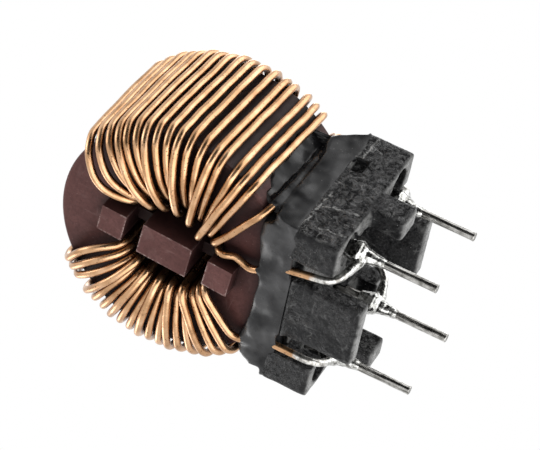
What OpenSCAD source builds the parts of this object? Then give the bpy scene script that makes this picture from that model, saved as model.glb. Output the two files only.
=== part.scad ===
// Toroidal common-mode inductor: two windings on a cased ring core, held by
// black potting on a moulded header with four pins.
// Millimetres. +Z is up from the circuit board, z = 0 is the seating plane
// under the header's four posts, and x = y = 0 is the centre of the pins.
// The ring's axis lies along Y, with its hooked separator facing -Y.

/* [Core] */
// Outer diameter of the bare ferrite ring
core_od = 25.4; // [22:0.1:27]
// Inner diameter of the bare ferrite ring
core_id = 15.7; // [15.5:0.1:17]
// Height of the bare ferrite ring along its axis
core_h = 13.5; // [11:0.1:13.6]
// Radius on the four edges of the ferrite ring
core_edge = 0.6; // [0.2:0.1:1]

/* [Case] */
// Wall of the plastic case that insulates the core
case_wall = 1.2; // [0.8:0.1:1.2]
// Free space between the core and the inside of its case
case_clear = 0.15; // [0.05:0.05:0.2]
// Radius on the outside edges of the case
case_edge = 0.3; // [0.2:0.05:0.4]

/* [Separator] */
// Width across X of the bar through the ring's hole
bar_w = 4.1; // [2.5:0.1:4.3]
// Length along Z of the bar through the ring's hole
bar_l = 6.2; // [4:0.1:6.6]
// Width across X of the two hooks at the edge of the hole
hook_w = 3.5; // [2:0.1:4]
// Thickness of a hook's leg inside the hole
hook_t = 1.1; // [0.8:0.1:1.4]
// Reach of a hook over the face of the ring
hook_reach = 1.8; // [1:0.1:3]
// How far the bar and the hooks stand out from the ring's front face
prong = 2.1; // [1:0.1:3]
// Thickness of the web that joins the bar to the hooks
web_t = 1.5; // [0.8:0.1:2]
// Depth from the ring's front face to the edge of the web
web_depth = 1.6; // [0.5:0.1:4]

/* [Winding] */
// Diameter of the enamelled copper wire
wire_d = 0.9; // [0.5:0.05:0.9]
// Slack between the wire and the rim of the case
rim_gap = 0.45; // [0.2:0.05:0.6]
// Slack between the wire and the two faces of the case
face_gap = 0.2; // [0.15:0.05:0.5]
// Slack between the wire and the wall of the hole
bore_gap = 0.12; // [0.05:0.01:0.2]
// Radius of the wire's centre line where it turns over the rim
rim_bend = 1.65; // [0.9:0.05:1.7]
// Radius of the wire's centre line where it turns into the hole
bore_bend = 1.15; // [0.8:0.05:1.2]

/* [Header] */
// Width of the header along X
header_w = 23.2; // [22.6:0.1:26]
// Depth of the header along Y
header_d = 19.6; // [19.4:0.1:22]
// Height of the header block
header_h = 5.6; // [4:0.1:7]
// Height of the four posts that hold the block off the board
standoff = 4.1; // [3.5:0.1:5]
// Radius on the upright corners of the header
header_corner = 0.7; // [0.4:0.1:2]
// Radius on the lower edges of the header and of its posts
header_edge = 0.4; // [0.2:0.1:0.7]
// Radius on the upright corners of the posts
post_corner = 0.6; // [0.3:0.1:0.8]
// Thickness of the plate that joins the blocks and posts
plate_t = 1.5; // [1.2:0.1:2]
// Width along X of the four corner blocks
block_w = 4.4; // [4.4:0.05:4.6]
// Depth along Y of the four corner blocks
block_d = 5.2; // [5:0.1:6]
// Length of the front and back posts along X
long_post_l = 8.6; // [6.6:0.1:8.8]
// Thickness of the front and back posts along Y
long_post_t = 2.1; // [1.6:0.1:2.2]
// Length of the side posts along Y
side_post_l = 3.7; // [2.5:0.1:4.5]
// Thickness along X of the side posts and of the walls they stand under
side_post_t = 2.8; // [1.6:0.1:3]
// Radius of the fillets between the side posts and their walls
side_fillet = 0.8; // [0.3:0.1:1]
// Width of the four slots that let the wire ends down
slot_w = 2.9; // [2.8:0.1:3.0]
// Radius of the round pocket under each corner
pocket_r = 2.0; // [1.5:0.1:2.1]
// Depth of the round pockets
pocket_h = 2.6; // [1:0.1:3]
// Width of the small window in the right-hand wall
window_w = 2.2; // [1:0.1:3]

/* [Pins] */
// Spacing of the pins along X
pin_pitch_x = 16; // [15:0.1:17]
// Spacing of the pins along Y
pin_pitch_y = 10; // [9:0.1:11]
// Diameter of the pins
pin_d = 1.0; // [0.6:0.05:1.2]
// Length of a pin below the seating plane
pin_out = 6.2; // [3:0.1:8]
// How much thicker a pin is at its root, inside the solder and the header
root_step = 0.4; // [0.35:0.05:0.5]
// Radius of a solder joint at its widest
solder_r = 1.4; // [1.2:0.05:1.5]

/* [Potting] */
// Depth of the potting over the header, away from walls and ring
potting_h = 1.8; // [1:0.1:2]
// Height of the potting over the header along its right-hand wall, at the back
potting_back = 3.2; // [2.6:0.1:3.4]
// Height of the potting over the header along the same wall, at the front
potting_front = 2.1; // [1.6:0.1:2.5]
// Height of the potting over the header against the ring's two faces
potting_apron = 4.0; // [3:0.1:4.2]
// Rounding of the potting along the header's back edge
potting_round = 2.7; // [1:0.1:3]

/* [Assembly] */
// Turn of the ring about its own axis, as it was potted
ring_roll = 3.6; // [0:0.1:5]
// Turn of the ring about the upright axis, as it was potted
ring_twist = 2.6; // [0:0.1:4]

/* [Hidden] */
$fn = 48;

plastic = [0.36, 0.24, 0.24];
copper = [0.80, 0.58, 0.36];
black = [0.13, 0.13, 0.14];
tin = [0.80, 0.80, 0.78];
eps = 0.01;

// The case, worked out from the core it holds
case_r = core_od / 2 + case_clear + case_wall;
hole_r = core_id / 2 - case_clear - case_wall;
case_h = core_h + 2 * (case_clear + case_wall);
lip_h = 1.5;

// Levels above the board
header_top = standoff + header_h;
ring_z = header_top + case_r;

// Lines that the wire's centre follows round the ring
rim_r = case_r + rim_gap + wire_d / 2;
face_y = case_h / 2 + face_gap + wire_d / 2;
bore_r = hole_r - bore_gap - wire_d / 2;

// The widest bend, of a wire that lies a and b off the two faces of a corner,
// that still clears the corner's rounded edge
function widest_bend(a, b) =
    let (c = wire_d / 2 - case_edge / 3, s = a + b - c)
    s + sqrt(s * s - a * a - b * b + c * c);
rim_turn = min(rim_bend, widest_bend(rim_r - case_r, face_y - case_h / 2));
bore_turn = min(bore_bend, widest_bend(hole_r - bore_r, face_y - case_h / 2));

// The turns lie side by side in the hole, and one in three has to ride on
// its two neighbours: it is nearer the axis there and stands out further.
// Low down, where the turns slant most over the faces, each stands out a
// little further than the one above it, because slanted turns lie closer.
bore_start = 58.2;        // degrees of the first pass through the hole
bore_pitch = 9.3;        // degrees from one seated pass to the next
last_slant = 1;          // degrees by which the last pass leans to its exit
every = 3;
row_end = 16;            // no pass rides from this one on
rider_in = 0.94 * wire_d;
rider_out = 1.5 * wire_d;
stand_out = 0.2 * wire_d;
upright = 7;             // places in the row before the slanted ones
rim_slant = 2.65;        // degrees that a wire advances along the rim

// Spacing on the rim, as [number of steps, degrees each], from the top down
right_start = 57;
right_steps = [
    [1, 6.5], [2, 5.6], [1, 4], [6, 5.1],
    [2, 6], [1, 4], [1, 7.2], [2, 5.1], [1, 11.8]
];
left_start = 50;
left_steps = [[2, 4.2], [1, 8.6], [10, 5.2], [4, 6.25]];

// Wire ends: they pass beside the separator and come down through the slots
lane_x = max(bar_w, hook_w) / 2 + wire_d / 2 + 0.08;
slot_x = long_post_l / 2 + slot_w / 2 + 0.05;
slot_d = long_post_t + 0.1;
lead_x = slot_x + 0.55;      // where all four wire ends turn towards their pins
right_down = slot_x - 0.75;  // where the front ends come out of the potting
left_down = slot_x + 0.5;
lead_y = header_d / 2 - wire_d / 2 - 0.05;
lead_z = standoff - 0.3;     // where a wire end turns towards its pin
lead_end = standoff - 1.2;   // where it meets the pin's root

// The pins, from the board up
root_d = pin_d + root_step;
root_z = standoff - 1.7;     // where the thicker root starts, in the solder
block_in = min(header_w / 2 - block_w, (pin_pitch_x - root_d) / 2 - 0.1);  // the blocks' inner faces
solder_low = standoff - 3.1;
solder_top = standoff + 0.9;
pocket_shift = [1.1, 1.3];   // pocket's centre, outwards from its pin
step_in = 0.5;               // the step above the long posts, set back
step_h = 1;                  // and its height, both filled by the potting
relief_r = solder_r + 0.2;

// ---------- Small helpers ----------

function unit(v) = v / norm(v);
function total(steps, n, i = 0) =
    i >= len(steps) || n <= 0 ? 0
    : min(n, steps[i][0]) * steps[i][1] + total(steps, n - steps[i][0], i + 1);
function turns(steps) = 1 + total([for (s = steps) [s[0], 1]], 1000);

// A point of the ring, carried to where the ring sits on the header
function seat(p) =
    let (x = p.x * cos(ring_roll) + p.z * sin(ring_roll),
         z = -p.x * sin(ring_roll) + p.z * cos(ring_roll))
    [x * cos(ring_twist) - p.y * sin(ring_twist),
     x * sin(ring_twist) + p.y * cos(ring_twist),
     z + ring_z];
function on_ring(r, a, y) = [r * cos(a), y, r * sin(a)];

module place_ring() {
    translate([0, 0, ring_z])
        rotate([0, ring_roll, ring_twist])
            children();
}

// Turns a body drawn round Z so that its axis lies along Y
module along_y() {
    rotate([-90, 0, 0])
        children();
}

// Moves the local frame to a point, with its axes along x, y and z
module frame_at(origin, x, y, z) {
    multmatrix([[x.x, y.x, z.x, origin.x],
                [x.y, y.y, z.y, origin.y],
                [x.z, y.z, z.z, origin.z]])
        children();
}

module rounded_rect(size, r) {
    square([size.x - 2 * r, size.y], center = true);
    square([size.x, size.y - 2 * r], center = true);
    for (sx = [-1, 1], sy = [-1, 1])
        translate([sx * (size.x / 2 - r), sy * (size.y / 2 - r)])
            circle(r);
}

// A block on z = 0 whose upright corners have one radius, and whose lower
// edges have another
module moulded_block(size, corner, edge) {
    intersection() {
        linear_extrude(size.z)
            rounded_rect([size.x, size.y], corner);
        translate([0, size.y / 2, size.z])
            rotate([90, 0, 0])
                linear_extrude(size.y)
                    rounded_rect([size.x, 2 * size.z], edge);
        translate([-size.x / 2, 0, size.z])
            rotate([90, 0, 90])
                linear_extrude(size.x)
                    rounded_rect([size.y, 2 * size.z], edge);
    }
}

// ---------- Bent wire ----------

// How much of each leg a bend of radius r takes at corner b
function bend_leg(a, b, c, r) =
    r * tan(acos(max(-1, min(1, unit(b - a) * unit(c - b)))) / 2);
function trim_at(path, i) =
    i == 0 || i == len(path) - 1 ? 0
    : bend_leg(path[i - 1][0], path[i][0], path[i + 1][0], path[i][1]);

module straight_wire(a, b, d) {
    z = unit(b - a);
    x = unit(cross(z, abs(z.y) < 0.9 ? [0, 1, 0] : [1, 0, 0]));
    frame_at(a, x, cross(z, x), z)
        cylinder(d = d, h = norm(b - a), $fn = 24);
}

// A bend is drawn a hair thinner than the straights and reaches into their
// ends, so that the two never share a surface
module wire_bend(a, b, c, r, d) {
    into = unit(b - a);
    away = unit(c - b);
    inward = unit(away - (away * into) * into);
    start = b - into * bend_leg(a, b, c, r);
    reach = 0.1 / r * 180 / PI;
    frame_at(start + inward * r, -inward, into, cross(-inward, into))
        rotate([0, 0, -reach])
            rotate_extrude(angle = acos(into * away) + 2 * reach, $fn = 48)
                translate([r, 0])
                    circle(d = d - 0.02, $fn = 24);
}

// A wire along a path of [corner, bend radius] pairs
module bent_wire(path, d) {
    last = len(path) - 1;
    for (i = [0 : last - 1]) {
        a = path[i][0];
        b = path[i + 1][0];
        run = unit(b - a);
        straight_wire(a + run * trim_at(path, i), b - run * trim_at(path, i + 1), d);
        if (i > 0)
            wire_bend(path[i - 1][0], a, b, path[i][1], d);
    }
}

// ---------- Route of a winding ----------

// Pass k through the hole runs from the back face to the front face
function rides(k) = k > 0 && k < row_end && k % every == 0;
function place_in_row(k) =
    k - floor((max(1, min(k, row_end)) - 1) / every) - (rides(k) ? 0.5 : 0);
function bore_angle(k) = bore_start - bore_pitch * place_in_row(k);
function bore_wire_r(k) = bore_r - (rides(k) ? rider_in : 0);
function bore_wire_y(k) =
    face_y + (rides(k) ? rider_out : 0) + stand_out * max(0, place_in_row(k) - upright);
function pass_back(k) =
    k == 0 ? [lane_x, face_y, sqrt(bore_r * bore_r - lane_x * lane_x)]
    : on_ring(bore_wire_r(k), bore_angle(k) + bore_pitch / 2, bore_wire_y(k));
function pass_front(k, last) =
    on_ring(bore_wire_r(k), bore_angle(k) - (k == last ? last_slant : 0), -bore_wire_y(k));

// One turn: down the hole to the front, out over the front face, back along
// the rim, and in over the back face to where the next pass starts
function turn_path(start, steps, i) =
    let (a = start - total(steps, i))
    [[pass_back(i), bore_turn], [pass_front(i, -1), bore_turn],
     [on_ring(rim_r, a, -face_y), rim_turn],
     [on_ring(rim_r, a - rim_slant, face_y), rim_turn]];
function last_pass(n) = [[pass_back(n), bore_turn], [pass_front(n, n), bore_turn]];

// A wire starts at its back pin, climbs the back face and crosses the hole
// beside the bar to the first pass: corners on the ring
climb = [[[lane_x - 0.9, face_y + 0.1, -hole_r - 3.2], 2]];

// The other end leaves the hole for the potting over the front face: beside
// the hook on the right, and further out on the left
right_exit = [
    [[lane_x + 0.75, -face_y, -hole_r - 1.1], 1.2],
    [[lane_x + 0.15, -face_y, -hole_r - 3.3], 1.5]
];
left_exit = [[[7.9, -face_y, -hole_r - 3.8], 1.5]];

// Corners between a pin and the potting, for a wire that comes down at the
// front (side = -1) or at the back (side = 1), x out from the middle
function pin_end(side) =
    [pin_pitch_x / 2, side * pin_pitch_y / 2, lead_end]
    + (root_d + wire_d) / 2 * unit([lead_x - pin_pitch_x / 2, side * (lead_y - pin_pitch_y / 2), 0]);
function slot_path(side, x) = [
    [pin_end(side), 0],
    [[lead_x, side * lead_y, lead_z], 2.2],
    [[x, side * lead_y, header_top + 0.4], 1.5]
];
function reversed(v) = [for (i = [len(v) - 1 : -1 : 0]) v[i]];

// half = 1 is the right-hand winding, and half = -1 mirrors the route
function swing(q, half) = [[half * q[0].x, q[0].y, q[0].z], q[1]];
function seated(q, half) = [seat(swing(q, half)[0]), q[1]];
function winding_path(start, steps, exit, exit_x, half) =
    let (n = turns(steps))
    concat(
        [for (q = slot_path(1, slot_x)) swing(q, half)],
        [for (q = climb) seated(q, half)],
        [for (i = [0 : n - 1], q = turn_path(start, steps, i)) seated(q, half)],
        [for (q = concat(last_pass(n), exit)) seated(q, half)],
        [for (q = reversed(slot_path(-1, exit_x))) swing(q, half)]);

right_path = winding_path(right_start, right_steps, right_exit, right_down, 1);
left_path = winding_path(left_start, left_steps, left_exit, left_down, -1);

// The stretches of a winding that touch the potting or the solder: from the
// back pin to the hole, over the rim in the last turn, and down to the front
function first_stretch(path) = [for (i = [0 : 4]) path[i]];
function last_turn(path, steps) = [for (i = [1 : 4]) path[4 * turns(steps) + i]];
function last_stretch(path) = [for (i = [len(path) - 6 : len(path) - 1]) path[i]];

// ---------- Pieces of the ring ----------

module core() {
    e = core_edge;
    w = (core_od - core_id) / 2;
    color([0.22, 0.22, 0.23])
        place_ring() along_y()
            rotate_extrude($fn = 96)
                translate([(core_od + core_id) / 4, 0])
                    rounded_rect([w, core_h], e);
}

// Outline of the closed case: inner and outer wall between the two faces
module case_section() {
    translate([(case_r + hole_r) / 2, 0])
        rounded_rect([case_r - hole_r, case_h], case_edge);
}

module core_space(grow) {
    translate([(core_od + core_id) / 4, 0])
        square([(core_od - core_id) / 2 + 2 * grow, core_h + 2 * grow], center = true);
}

// The lid closes the back and drops inside both walls by a short lip
module lid_section() {
    seam = case_wall / 2;
    intersection() {
        case_section();
        union() {
            translate([hole_r + seam, case_h / 2 - case_wall])
                square([case_r - hole_r - 2 * seam, case_wall]);
            for (x = [hole_r + seam, case_r - case_wall])
                translate([x, case_h / 2 - case_wall - lip_h])
                    square([case_wall - seam, lip_h + eps]);
        }
    }
}

module case_cup() {
    color(plastic)
        place_ring() along_y()
            rotate_extrude($fn = 96)
                difference() {
                    case_section();
                    core_space(case_clear);
                    lid_section();
                }
}

module case_lid() {
    color(plastic)
        place_ring() along_y()
            rotate_extrude($fn = 96)
                lid_section();
}

// Moulded in one: a bar through the hole, two hooks over its edge, and the
// web between them
module separator() {
    front = -case_h / 2;
    back = case_h / 2;
    seat_r = hole_r - 0.05;
    color(plastic)
        place_ring() {
            translate([-bar_w / 2, front - prong, -bar_l / 2])
                cube([bar_w, case_h + prong, bar_l]);
            intersection() {
                union() {
                    translate([-web_t / 2, front + web_depth, -hole_r])
                        cube([web_t, case_h - web_depth, 2 * hole_r]);
                    for (s = [-1, 1])
                        translate([-hook_w / 2, front - eps, s > 0 ? hole_r - hook_t - 0.2 : -hole_r])
                            cube([hook_w, case_h + eps, hook_t + 0.2]);
                }
                along_y()
                    cylinder(r = seat_r, h = 2 * case_h, center = true, $fn = 96);
            }
            for (s = [-1, 1])
                translate([-hook_w / 2, front - prong, s > 0 ? hole_r - hook_t - 0.2 : -hole_r - hook_reach])
                    cube([hook_w, prong, hook_t + hook_reach + 0.2]);
        }
}

module winding_right() {
    color(copper)
        bent_wire(right_path, wire_d);
}

module winding_left() {
    color(copper)
        bent_wire(left_path, wire_d);
}

// ---------- Header, pins and solder ----------

module header_posts() {
    long_h = header_top - plate_t + eps;
    for (s = [-1, 1]) {
        translate([0, s * (header_d / 2 - long_post_t / 2 - 0.2), 0])
            moulded_block([long_post_l, long_post_t, long_h], post_corner, header_edge);
        translate([s * (header_w / 2 - side_post_t / 2), 0, 0]) {
            moulded_block([side_post_t, side_post_l, standoff + 1], post_corner, header_edge);
            for (side = [-1, 1])
                translate([0, side * side_post_l / 2, standoff + eps])
                    side_post_fillet(side);
        }
    }
}

// The hollow curve between a side post and the underside of its wall
module side_post_fillet(side) {
    w = side_post_t - 2 * post_corner;
    r = side_fillet;
    translate([-w / 2, 0, 0])
        rotate([90, 0, 90])
            linear_extrude(w)
                difference() {
                    translate([side > 0 ? -eps : -r, -r])
                        square([r + eps, r]);
                    translate([side * r, -r])
                        circle(r);
                }
}

// The plate, the four corner blocks that hang below it, each round one pin,
// and the side walls between them
module header_blocks() {
    gap_x = 2 * block_in;
    gap_y = header_d - 2 * block_d;
    hollow_w = header_w - 2 * side_post_t;
    under = header_h - plate_t + 1;
    difference() {
        translate([0, 0, standoff])
            moulded_block([header_w, header_d, header_h], header_corner, header_edge);
        translate([-gap_x / 2, -header_d, standoff - 1])
            cube([gap_x, 2 * header_d, under]);
        translate([-hollow_w / 2, -gap_y / 2, standoff - 1])
            cube([hollow_w, gap_y, under]);
    }
}

// Room for the wire ends: slots in the front and back edge, beside the posts
module header_slots() {
    for (sx = [-1, 1], sy = [-1, 1])
        translate([sx * (long_post_l + slot_w) / 2, sy * header_d / 2, standoff + header_h / 2])
            cube([slot_w, 2 * slot_d, header_h + 2], center = true);
}

module header_pockets() {
    for (sx = [-1, 1], sy = [-1, 1])
        translate([sx * pin_pitch_x / 2, sy * pin_pitch_y / 2, standoff - 1]) {
            translate([sx * pocket_shift.x, sy * pocket_shift.y, 0])
                cylinder(r = pocket_r, h = pocket_h + 1);
            cylinder(r = relief_r, h = pocket_h + 1);
            cylinder(d = root_d, h = header_h + 0.5, $fn = 32);
        }
}

// The front and back edges between the slots stand a step lower, under the
// potting
module header_step() {
    for (s = [-1, 1])
        translate([0, s * header_d / 2, header_top])
            cube([long_post_l, 2 * step_in, 2 * step_h], center = true);
}

module header_window() {
    translate([header_w / 2 - 0.9, 2.7, header_top - 2.1])
        cube([2, window_w, 1.7]);
}

module header() {
    color(black) {
        difference() {
            union() {
                header_blocks();
                header_posts();
            }
            header_slots();
            header_pockets();
            header_step();
            header_window();
        }
    }
}

module pin(sx, sy) {
    top = header_top - 0.5;
    color(tin)
        translate([sx * pin_pitch_x / 2, sy * pin_pitch_y / 2, 0]) {
            translate([0, 0, -pin_out])
                cylinder(d = pin_d, h = root_z + pin_out, $fn = 32);
            translate([0, 0, root_z])
                cylinder(d = root_d, h = top - root_z, $fn = 32);
        }
}

// Outline of the solder: a hollow fillet that runs out along the pin
solder_fillet = [
    for (t = [0 : 0.125 : 1])
        [pin_d / 2 + 0.03 + (solder_r - pin_d / 2 - 0.03) * pow(t, 2.2),
         solder_low + (lead_end + 0.3 - solder_low) * t]
];

// Solder round a pin, between the wire's end and the pocket
module solder(sx, sy, path) {
    color(tin)
        difference() {
            translate([sx * pin_pitch_x / 2, sy * pin_pitch_y / 2, 0])
                rotate_extrude($fn = 32)
                    polygon(concat([[0, solder_low]], solder_fillet,
                                   [[solder_r - 0.05, lead_end + 0.6],
                                    [root_d / 2 + 0.25, solder_top], [0, solder_top]]));
            pin(sx, sy);
            bent_wire(path, wire_d);
        }
}

// ---------- Potting ----------

potting_top = header_top + potting_h;
front_gap = 0.25;   // the pour's height over the header at its front edge
film = 0.35;        // the resin that clings to the rim, under the last turns

// The level across X: a lip creeps up the right-hand wall of the mould, and
// the pour runs out thin over the left-hand side
lip_profile = concat(
    [for (x = [0 : 0.5 : 3]) [header_w / 2 - x, potting_top + (potting_back - potting_h) * exp(-x / 1.1)]],
    [for (t = [0 : 0.2 : 1])
        [-header_w / 2 + 3.4 * (1 - t), potting_top - (potting_h - front_gap) * t * t]]);

// The level along Y beside that wall: rounded at the back, lower at the front
pour_profile = concat(
    [for (a = [0 : 15 : 90])
        [header_d / 2 - potting_round * (1 - cos(a)), header_top + potting_back * sin(a)]],
    [for (y = [-4 : -0.9 : -header_d / 2])
        [y, header_top + front_gap + (potting_front - front_gap) * exp(-pow((y + 4) / 2.2, 2))]]);

// The level across X where the pour rises against the ring's two faces: it
// sags in the middle and drops away towards both sides
apron_profile = [
    for (x = [-10.4 : 0.96 : 11.2])
        [x, header_top + potting_apron * (0.7 + 0.3 * min(1, pow(x / 8, 2)))
            * (1 - pow(abs(x - 0.35) / 10.95, 20))]
];

// The rounding from the front or back of that rise to its top
apron_round = [for (a = [0 : 18 : 90]) [1.6 * (1 - cos(a)), 2.2 * (sin(a) - 1)]];

// Extrudes an outline in X and Z over the whole depth
module across_y(outline) {
    translate([0, header_d / 2, 0])
        rotate([90, 0, 0])
            linear_extrude(header_d)
                polygon(outline);
}

// Extrudes an outline in Y and Z over the whole width
module across_x(outline) {
    translate([-header_w / 2, 0, 0])
        rotate([90, 0, 90])
            linear_extrude(header_w)
                polygon(outline);
}

module potting_pour() {
    half = header_d / 2;
    intersection() {
        across_y(concat([[header_w / 2, header_top]], lip_profile, [[-header_w / 2, header_top]]));
        across_x(concat([[half, header_top]], pour_profile,
                        [[-half, header_top + front_gap], [-half, header_top]]));
        translate([0, 0, header_top])
            linear_extrude(2 * potting_back)
                rounded_rect([header_w, header_d], header_corner);
    }
}

// The rise against one face of the ring
module potting_rise(side) {
    half = header_d / 2;
    crest = header_top + (side > 0 ? potting_back : potting_apron);
    inner = case_h / 2 - 1.5;
    intersection() {
        across_y(concat([[apron_profile[0].x, header_top]], apron_profile,
                        [[apron_profile[len(apron_profile) - 1].x, header_top]]));
        across_x([for (q = concat(
            [[half, header_top]], [for (r = apron_round) [half - r.x, crest + r.y]],
            [[inner, crest], [inner, header_top]])) [side * q.x, q.y]]);
    }
}

// Resin clings to the rim of the ring, further up on the right
module potting_film() {
    w = case_h - 2.4;
    place_ring() along_y()
        for (arc = [[37.5, 24], [110, 16]])
            rotate([0, 0, arc[0]])
                rotate_extrude(angle = arc[1], $fn = 96)
                    translate([case_r - 1, -w / 2])
                        square([1 + film, w]);
}

module potting() {
    color([0.08, 0.08, 0.09])
        difference() {
            union() {
                potting_pour();
                potting_film();
                for (s = [-1, 1]) {
                    potting_rise(s);
                    translate([0, s * (header_d - step_in) / 2, header_top - step_h / 2 + eps])
                        cube([long_post_l, step_in, step_h + 2 * eps], center = true);
                }
            }
            place_ring() along_y()
                cylinder(r = case_r, h = case_h, center = true, $fn = 96);
            bent_wire(first_stretch(right_path), wire_d);
            bent_wire(last_turn(right_path, right_steps), wire_d);
            bent_wire(last_stretch(right_path), wire_d);
            bent_wire(first_stretch(left_path), wire_d);
            bent_wire(last_stretch(left_path), wire_d);
        }
}

// ---------- Nodes ----------

module pin_front_right() { pin(1, -1); }
module pin_front_left() { pin(-1, -1); }
module pin_back_right() { pin(1, 1); }
module pin_back_left() { pin(-1, 1); }
module solder_front_right() { solder(1, -1, last_stretch(right_path)); }
module solder_back_right() { solder(1, 1, first_stretch(right_path)); }
module solder_back_left() { solder(-1, 1, first_stretch(left_path)); }
module solder_front_left() { solder(-1, -1, last_stretch(left_path)); }

core();
case_cup();
case_lid();
separator();
winding_right();
winding_left();
header();
potting();
pin_front_right();
pin_front_left();
pin_back_right();
pin_back_left();
solder_front_right();
solder_front_left();
solder_back_right();
solder_back_left();
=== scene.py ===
"""The toroidal inductor dressed for the camera: finishes, wires, resin, header, pins, solder and studio.

Lengths are in millimetres in the frame of part.scad, unless a comment says metres. The origin is on the
seating plane between the four pins, +Z points from the pins to the ring, and the ring's axis lies nearly
along Y.
"""
import math

import bpy
import numpy as np
from mathutils import Matrix, Vector, noise


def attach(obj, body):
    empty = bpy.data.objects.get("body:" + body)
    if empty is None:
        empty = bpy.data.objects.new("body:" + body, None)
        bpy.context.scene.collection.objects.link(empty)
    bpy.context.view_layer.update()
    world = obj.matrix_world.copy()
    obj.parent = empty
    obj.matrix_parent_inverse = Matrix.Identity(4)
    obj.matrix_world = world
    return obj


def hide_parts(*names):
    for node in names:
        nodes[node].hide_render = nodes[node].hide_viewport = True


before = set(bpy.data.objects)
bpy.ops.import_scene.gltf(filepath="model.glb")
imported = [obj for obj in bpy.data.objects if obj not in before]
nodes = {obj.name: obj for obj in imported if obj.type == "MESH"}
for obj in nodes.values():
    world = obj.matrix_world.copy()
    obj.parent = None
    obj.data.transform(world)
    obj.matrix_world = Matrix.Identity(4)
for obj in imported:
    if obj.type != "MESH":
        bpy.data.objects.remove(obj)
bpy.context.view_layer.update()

MM = 0.001  # one millimetre in metres

# ---------- Sizes, as in part.scad ----------

CASE_R = 14.05
CASE_H = 16.2
HOLE_R = 6.5
BAR_W = 4.1

HEADER_W = 23.2
HEADER_D = 19.6
STANDOFF = 4.1
HEADER_TOP = STANDOFF + 5.6

PIN_X = 8
PIN_Y = 5
PIN_R = 0.5
PIN_OUT = 6.2

# The ring stands on the header, rolled and twisted a little
RING_Z = HEADER_TOP + CASE_R
ROLL = math.radians(3.6)
TWIST = math.radians(2.6)

# The wire, the place of its middle on the rim, on the faces, in the hole and beside the bar, and its bends
WIRE = 0.9
RIM_R = CASE_R + 0.45 + WIRE / 2
FACE_Y = CASE_H / 2 + 0.2 + WIRE / 2
BORE_R = HOLE_R - 0.12 - WIRE / 2
LANE_X = BAR_W / 2 + WIRE / 2 + 0.08
RIM_BEND = 1.65
BORE_BEND = 1.15

# The row of passes in the hole, where one in three rides on its neighbours
BORE_START = 58.2  # degrees
BORE_PITCH = 9.3  # degrees
RIDER_EVERY = 3
ROW_END = 16  # no pass rides from this one on
RIDER_IN = 0.94 * WIRE  # a rider's way in towards the ring's axis
RIDER_OUT = 1.5 * WIRE  # and out from the face, where it turns
UPRIGHT = 7  # past this place in the row each turn stands out from the face by STAND_OUT more
STAND_OUT = 0.2 * WIRE
RIM_SLANT = 2.65  # degrees that a turn runs down from front to back across the rim
LAST_SLANT = 1  # degrees by which the last pass's front end lies lower than the row's pitch puts it

# The wire ends: each comes down through a slot, turns towards its pin and stops short of its middle
SLOT_X = 5.8
SLOT_BEND = 1.5
LEAD_X = SLOT_X + 0.55
LEAD_Y = HEADER_D / 2 - WIRE / 2 - 0.05
LEAD_Z = STANDOFF - 0.3
LEAD_END = STANDOFF - 1.2
LEAD_STOP = 1.15
LEAD_BEND = 2.2

# ---------- Materials ----------


class Graph:
    """The node tree of a material or a world: each call adds a node."""

    def __init__(self, owner):
        owner.use_nodes = True
        self.tree = owner.node_tree
        self.tree.nodes.clear()

    def node(self, kind, inputs=None, **props):
        n = self.tree.nodes.new(kind)
        for key, value in props.items():
            setattr(n, key, value)
        for key, value in (inputs or {}).items():
            self.put(n.inputs[key], value)
        return n

    def put(self, socket, value):
        if isinstance(value, bpy.types.NodeSocket):
            self.tree.links.new(value, socket)
        else:
            socket.default_value = value

    def maths(self, how, a, b=0.0):
        return self.node("ShaderNodeMath", {0: a, 1: b}, operation=how).outputs[0]

    def times(self, a, b):
        return self.maths("MULTIPLY", a, b)

    def most(self, a, b):
        return self.maths("MAXIMUM", a, b)

    def vector(self, how, *values):
        n = self.node("ShaderNodeVectorMath", dict(enumerate(values)), operation=how)
        return n.outputs["Value" if how in ("DOT_PRODUCT", "LENGTH") else "Vector"]


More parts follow.
